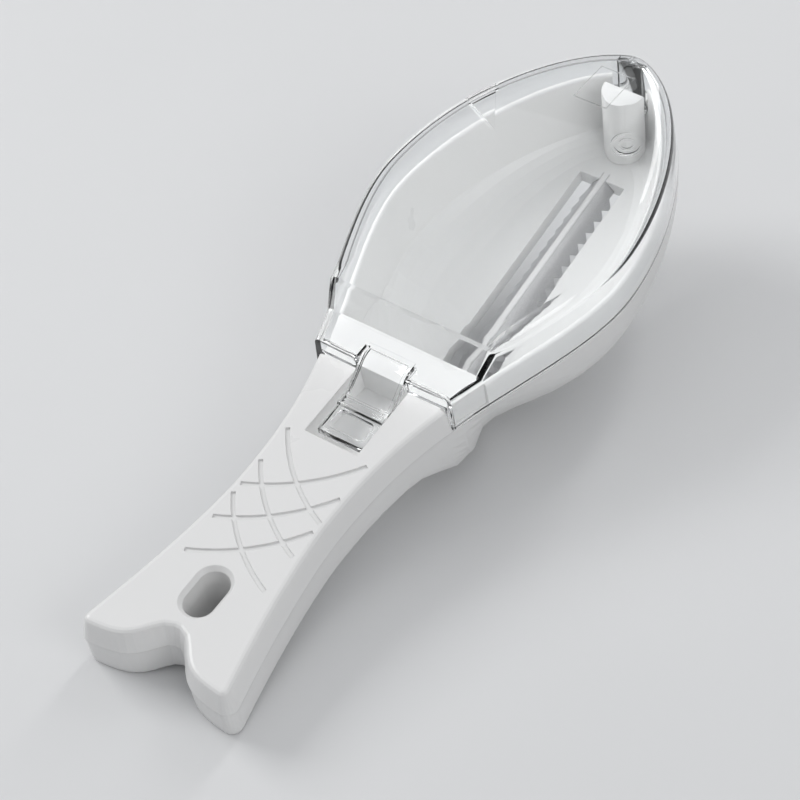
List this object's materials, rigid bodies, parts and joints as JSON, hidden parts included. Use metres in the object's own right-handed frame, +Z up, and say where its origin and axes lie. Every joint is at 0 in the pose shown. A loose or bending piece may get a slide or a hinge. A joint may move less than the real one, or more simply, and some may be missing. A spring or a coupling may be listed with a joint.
{
  "type": "fish scaler",
  "caption": "Fish-shaped hand fish scaler: white moulded handle and scale box with slotted floor and saw-tooth strips, under a clear domed cover that hooks on at the nose.",
  "frame": {"origin": "on the surface the tool lies on, under the middle of its length, in its plane of symmetry", "axes": "+X from the tail of the handle to the nose, +Y to the left side, +Z up from the surface, with the tool lying on its tail edge and on the heel of its keel"},
  "size_m": [0.2298, 0.0776, 0.0665],
  "materials": {
    "white_shell": "satin",
    "clear_cover": "clear, polished",
    "strip_steel": "stamped"
  },
  "bodies": {
    "tool": {"lower_shell": "white_shell", "handle_shell": "white_shell", "blade_left": "strip_steel", "blade_right": "strip_steel"},
    "clear_cover": {"cover": "clear_cover"}
  },
  "joints": [
    {"name": "cover_hinge", "type": "hinge", "parent": "tool", "child": "clear_cover", "pos_m": [0.11303, 0, 0.04811], "axis": [0, 1, 0], "range_deg": [0, 40]}
  ]
}
